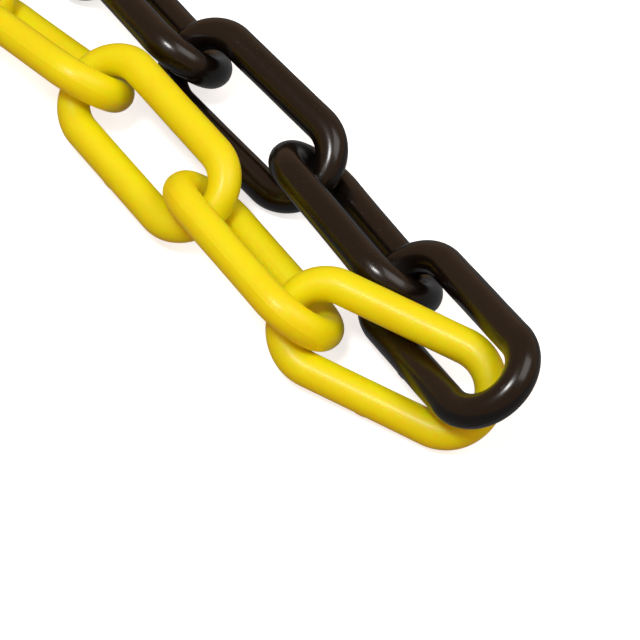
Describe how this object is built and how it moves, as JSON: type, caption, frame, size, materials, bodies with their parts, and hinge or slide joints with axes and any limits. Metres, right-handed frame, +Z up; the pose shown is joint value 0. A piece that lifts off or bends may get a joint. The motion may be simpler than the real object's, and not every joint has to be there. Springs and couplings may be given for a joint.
{
  "type": "barrier chain",
  "caption": "Two-colour plastic barrier chain of long oval hooked links, a yellow run and a black run joined and folded back side by side.",
  "frame": {"origin": "centre of the bounding box's bottom face, on the floor the chain lies on", "axes": "+Z up; the turn where the two colours meet points towards +X and -Y; the yellow run goes off to -X, the black run to +Y"},
  "size_m": [0.4338, 0.4638, 0.0295],
  "materials": {
    "yellow_plastic": "glossy injection-moulded polyethylene",
    "black_plastic": "glossy injection-moulded polyethylene"
  },
  "bodies": {
    "yellow_link_01": {"yellow_link_01": "yellow_plastic"},
    "yellow_link_02": {"yellow_link_02": "yellow_plastic"},
    "yellow_link_03": {"yellow_link_03": "yellow_plastic"},
    "yellow_link_04": {"yellow_link_04": "yellow_plastic"},
    "yellow_link_05": {"yellow_link_05": "yellow_plastic"},
    "yellow_link_06": {"yellow_link_06": "yellow_plastic"},
    "yellow_link_07": {"yellow_link_07": "yellow_plastic"},
    "yellow_link_08": {"yellow_link_08": "yellow_plastic"},
    "yellow_link_09": {"yellow_link_09": "yellow_plastic"},
    "yellow_link_10": {"yellow_link_10": "yellow_plastic"},
    "yellow_link_11": {"yellow_link_11": "yellow_plastic"},
    "yellow_link_12": {"yellow_link_12": "yellow_plastic"},
    "black_link_01": {"black_link_01": "black_plastic"},
    "black_link_02": {"black_link_02": "black_plastic"},
    "black_link_03": {"black_link_03": "black_plastic"},
    "black_link_04": {"black_link_04": "black_plastic"},
    "black_link_05": {"black_link_05": "black_plastic"},
    "black_link_06": {"black_link_06": "black_plastic"},
    "black_link_07": {"black_link_07": "black_plastic"},
    "black_link_08": {"black_link_08": "black_plastic"},
    "black_link_09": {"black_link_09": "black_plastic"},
    "black_link_10": {"black_link_10": "black_plastic"},
    "black_link_11": {"black_link_11": "black_plastic"},
    "black_link_12": {"black_link_12": "black_plastic"}
  },
  "joints": [
    {"name": "yellow_01_to_yellow_02", "type": "hinge", "parent": "yellow_link_01", "child": "yellow_link_02", "pos_m": [0.17106, -0.20457, 0.01254], "axis": [-0.2763, -0.6509, 0.7071], "range_deg": [0, 85]},
    {"name": "yellow_02_to_yellow_03", "type": "hinge", "parent": "yellow_link_02", "child": "yellow_link_03", "pos_m": [0.14226, -0.16493, 0.01339], "axis": [0.4461, 0.687, -0.5736], "range_deg": [-85, 10]},
    {"name": "yellow_03_to_yellow_04", "type": "hinge", "parent": "yellow_link_03", "child": "yellow_link_04", "pos_m": [0.11785, -0.13266, 0.01488], "axis": [0.7142, 0.333, 0.6157], "range_deg": [-85, 45]},
    {"name": "yellow_04_to_yellow_05", "type": "hinge", "parent": "yellow_link_04", "child": "yellow_link_05", "pos_m": [0.08903, -0.1047, 0.01084], "axis": [0.5417, 0.4545, -0.7071], "range_deg": [-85, 85]},
    {"name": "yellow_05_to_yellow_06", "type": "hinge", "parent": "yellow_link_05", "child": "yellow_link_06", "pos_m": [0.05646, -0.08092, 0.01122], "axis": [-0.4472, -0.5935, -0.6691], "range_deg": [-85, 85]},
    {"name": "yellow_06_to_yellow_07", "type": "hinge", "parent": "yellow_link_06", "child": "yellow_link_07", "pos_m": [0.02111, -0.0611, 0.01122], "axis": [-0.3473, -0.6016, 0.7193], "range_deg": [-85, 85]},
    {"name": "yellow_07_to_yellow_08", "type": "hinge", "parent": "yellow_link_07", "child": "yellow_link_08", "pos_m": [-0.01608, -0.04503, 0.01122], "axis": [0.3023, 0.6789, 0.6691], "range_deg": [-85, 85]},
    {"name": "yellow_08_to_yellow_09", "type": "hinge", "parent": "yellow_link_08", "child": "yellow_link_09", "pos_m": [-0.05449, -0.03219, 0.01122], "axis": [0.2262, 0.6568, -0.7193], "range_deg": [-85, 85]},
    {"name": "yellow_09_to_yellow_10", "type": "hinge", "parent": "yellow_link_09", "child": "yellow_link_10", "pos_m": [-0.0937, -0.022, 0.01122], "axis": [-0.1923, -0.7178, -0.6691], "range_deg": [-85, 85]},
    {"name": "yellow_10_to_yellow_11", "type": "hinge", "parent": "yellow_link_10", "child": "yellow_link_11", "pos_m": [-0.13336, -0.0138, 0.01122], "axis": [-0.1444, -0.6795, 0.7193], "range_deg": [-85, 85]},
    {"name": "yellow_11_to_yellow_12", "type": "hinge", "parent": "yellow_link_11", "child": "yellow_link_12", "pos_m": [-0.17328, -0.00691, 0.01122], "axis": [0.129, 0.7319, 0.6691], "range_deg": [-85, 85]},
    {"name": "yellow_01_to_black_01", "type": "hinge", "parent": "yellow_link_01", "child": "black_link_01", "pos_m": [0.20713, -0.22133, 0.01108], "axis": [0, -0.5592, -0.829], "range_deg": [0, 85]},
    {"name": "black_01_to_black_02", "type": "hinge", "parent": "black_link_01", "child": "black_link_02", "pos_m": [0.19256, -0.19317, 0.01189], "axis": [-0.4716, -0.3957, 0.788], "range_deg": [-85, 0]},
    {"name": "black_02_to_black_03", "type": "hinge", "parent": "black_link_02", "child": "black_link_03", "pos_m": [0.16661, -0.15165, 0.01018], "axis": [0.6436, 0.3716, -0.6691], "range_deg": [-5, 85]},
    {"name": "black_03_to_black_04", "type": "hinge", "parent": "black_link_03", "child": "black_link_04", "pos_m": [0.13983, -0.12191, 0.01345], "axis": [-0.621, -0.4851, -0.6157], "range_deg": [-55, 85]},
    {"name": "black_04_to_black_05", "type": "hinge", "parent": "black_link_04", "child": "black_link_05", "pos_m": [0.11776, -0.08825, 0.0108], "axis": [-0.6269, -0.3767, 0.682], "range_deg": [-85, 85]},
    {"name": "black_05_to_black_06", "type": "hinge", "parent": "black_link_05", "child": "black_link_06", "pos_m": [0.10063, -0.05174, 0.01103], "axis": [0.6679, 0.3258, 0.6691], "range_deg": [-85, 85]},
    {"name": "black_06_to_black_07", "type": "hinge", "parent": "black_link_06", "child": "black_link_07", "pos_m": [0.08792, -0.01326, 0.01103], "axis": [0.6568, 0.2262, -0.7193], "range_deg": [-85, 85]},
    {"name": "black_07_to_black_08", "type": "hinge", "parent": "black_link_07", "child": "black_link_08", "pos_m": [0.07925, 0.02631, 0.01103], "axis": [-0.7241, -0.1672, -0.6691], "range_deg": [-85, 85]},
    {"name": "black_08_to_black_09", "type": "hinge", "parent": "black_link_08", "child": "black_link_09", "pos_m": [0.07397, 0.06648, 0.01103], "axis": [-0.6879, -0.0967, 0.7193], "range_deg": [-85, 85]},
    {"name": "black_09_to_black_10", "type": "hinge", "parent": "black_link_09", "child": "black_link_10", "pos_m": [0.07144, 0.10691, 0.01103], "axis": [0.7413, 0.0518, 0.6691], "range_deg": [-85, 85]},
    {"name": "black_10_to_black_11", "type": "hinge", "parent": "black_link_10", "child": "black_link_11", "pos_m": [0.07096, 0.14741, 0.01103], "axis": [0.6946, 0.0121, -0.7193], "range_deg": [-85, 85]},
    {"name": "black_11_to_black_12", "type": "hinge", "parent": "black_link_11", "child": "black_link_12", "pos_m": [0.07182, 0.1879, 0.01103], "axis": [0.743, -0.013, 0.6691], "range_deg": [-85, 85]}
  ]
}
